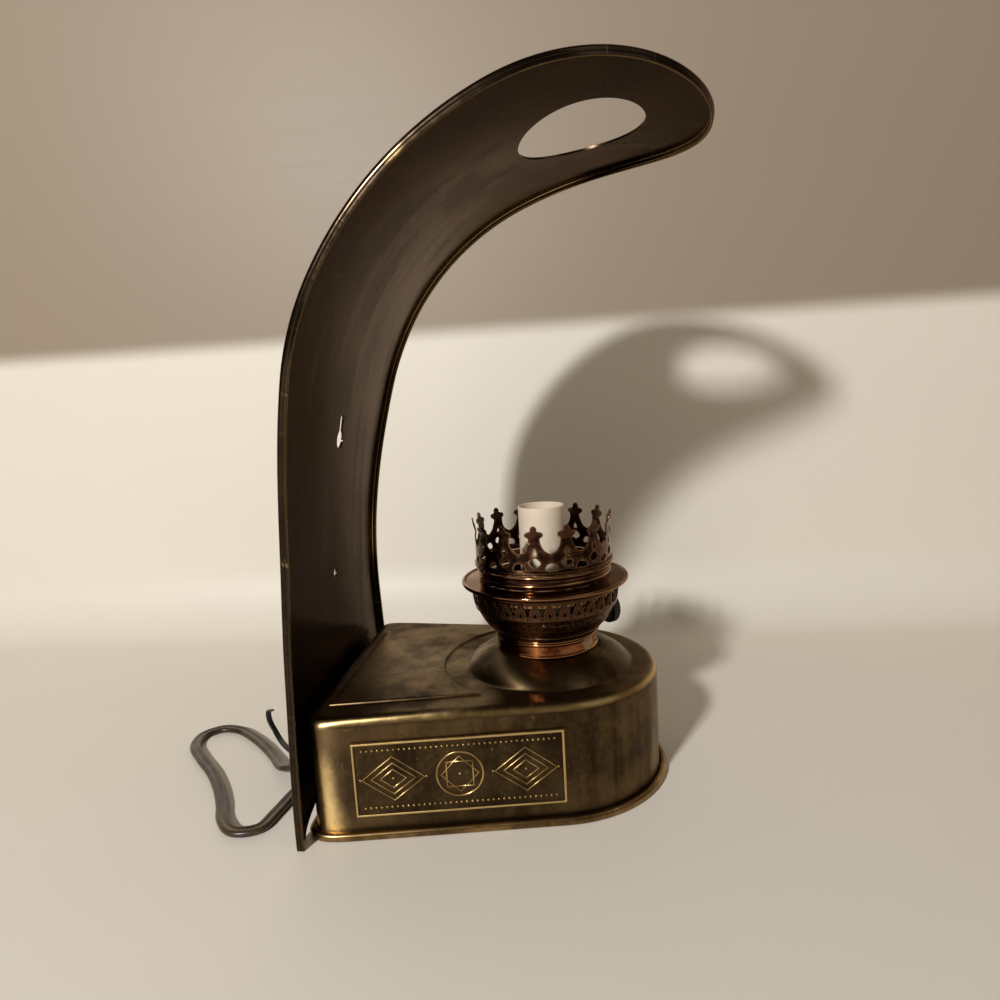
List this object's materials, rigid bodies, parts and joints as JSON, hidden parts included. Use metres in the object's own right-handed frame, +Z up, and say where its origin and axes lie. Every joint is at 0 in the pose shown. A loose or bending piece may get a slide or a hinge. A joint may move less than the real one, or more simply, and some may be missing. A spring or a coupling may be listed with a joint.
{
  "type": "brass lamp",
  "caption": "Table and wall lamp in aged brass: curled back plate over a D-shaped reservoir with relief panels, a burner with a pronged crown and candle sleeve, and a coiled twin flex",
  "frame": {"origin": "on the surface the lamp stands on, below the burner's axis", "axes": "+Z up, +Y from the reservoir's nose to the back plate, +X to the right seen from the nose"},
  "size_m": [0.218, 0.2485, 0.2613],
  "materials": {
    "aged_brass": "aged, brown patina with bright edges",
    "bright_brass": "satin, worn bright",
    "copper": "satin, copper coloured",
    "bronze": "aged, bronze brown",
    "steel": "zinc plated",
    "white_sleeve": "warm white, satin",
    "white_insulator": "unglazed white",
    "black_plastic": "satin black",
    "gold_flex": "gold brown, satin",
    "brown_lead": "brown insulation",
    "blue_lead": "blue insulation"
  },
  "bodies": {
    "lamp": {"back_plate": "aged_brass", "base_plate": "aged_brass", "reservoir_shell": "aged_brass", "side_panel_left": "bright_brass", "side_panel_right": "bright_brass", "plate_screw_1": "steel", "plate_screw_2": "steel", "plate_screw_3": "steel", "plate_screw_4": "steel", "plate_nut_1": "steel", "plate_nut_2": "steel", "plate_nut_3": "steel", "plate_nut_4": "steel", "plate_spacer_1": "aged_brass", "plate_spacer_2": "aged_brass", "plate_spacer_3": "aged_brass", "plate_spacer_4": "aged_brass", "neck_collar": "copper", "burner_base": "bronze", "burner_basket": "bronze", "nipple": "steel", "nipple_nut_lower": "steel", "nipple_nut_upper": "steel", "nipple_nut_cup": "steel", "sleeve_cup": "bright_brass", "lampholder_body": "black_plastic", "lampholder_core": "white_insulator", "lampholder_shell": "bright_brass", "centre_contact": "bright_brass", "terminal_screw_1": "steel", "terminal_screw_2": "steel", "switch_body": "black_plastic", "spindle_bush": "bright_brass", "switch_nut": "bright_brass", "lead_live": "brown_lead", "lead_switched": "brown_lead", "lead_neutral": "blue_lead", "cord_gland": "black_plastic", "cord_run": "gold_flex", "cord_coil": "gold_flex", "cord_tail": "gold_flex", "coil_tie": "black_plastic", "cord_tie": "black_plastic", "plug_body": "black_plastic", "plug_pin_1": "steel", "plug_pin_2": "steel"},
    "gallery": {"gallery_flange": "bronze", "gallery_ring": "bronze", "crown": "bronze"},
    "sleeve": {"candle_sleeve": "white_sleeve"},
    "wick_knob": {"spindle": "bright_brass", "knob": "black_plastic"}
  },
  "joints": [
    {"name": "knob_turn", "type": "hinge", "parent": "lamp", "child": "wick_knob", "pos_m": [0.01893, -0.02703, 0.0636], "axis": [0.5736, -0.8192, 0], "range_deg": [0, 90]},
    {"name": "gallery_lift", "type": "slide", "parent": "lamp", "child": "gallery", "axis": [0, 0, 1], "range_m": [0, 0.012]},
    {"name": "sleeve_lift", "type": "slide", "parent": "lamp", "child": "sleeve", "axis": [0, 0, 1], "range_m": [0, 0.03]}
  ]
}
